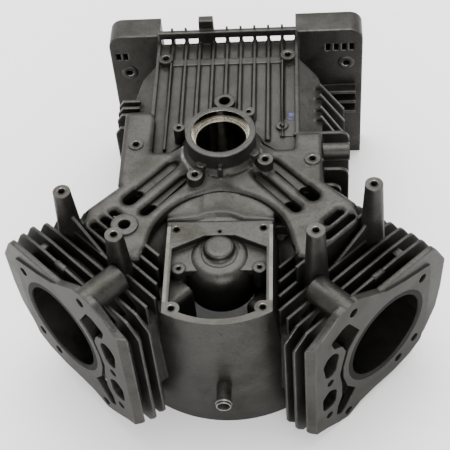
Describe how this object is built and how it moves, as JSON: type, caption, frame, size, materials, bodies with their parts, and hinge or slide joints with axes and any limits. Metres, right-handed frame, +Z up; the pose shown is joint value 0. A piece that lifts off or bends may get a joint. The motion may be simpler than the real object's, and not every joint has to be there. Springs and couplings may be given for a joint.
{
  "type": "v-twin engine crankcase",
  "caption": "Die-cast aluminium crankcase of a small vertical-shaft V-twin engine, with finned cylinder barrels, iron liners, crank boss and breather box.",
  "frame": {"origin": "crank axis on the sump joint face", "axes": "+Z up along the crank axis to the flywheel side, the V opens towards -Y, +X to the right when the V faces the viewer"},
  "size_m": [0.361, 0.364, 0.1965],
  "materials": {
    "cast_aluminium": "satin",
    "liner_iron": "honed",
    "bush_steel": "polished",
    "tube_steel": "satin"
  },
  "bodies": {
    "root": {"crankcase": "cast_aluminium", "cylinder_liner_left": "liner_iron", "cylinder_liner_right": "liner_iron", "main_bearing_bush": "bush_steel", "breather_tube": "tube_steel"}
  },
  "joints": []
}
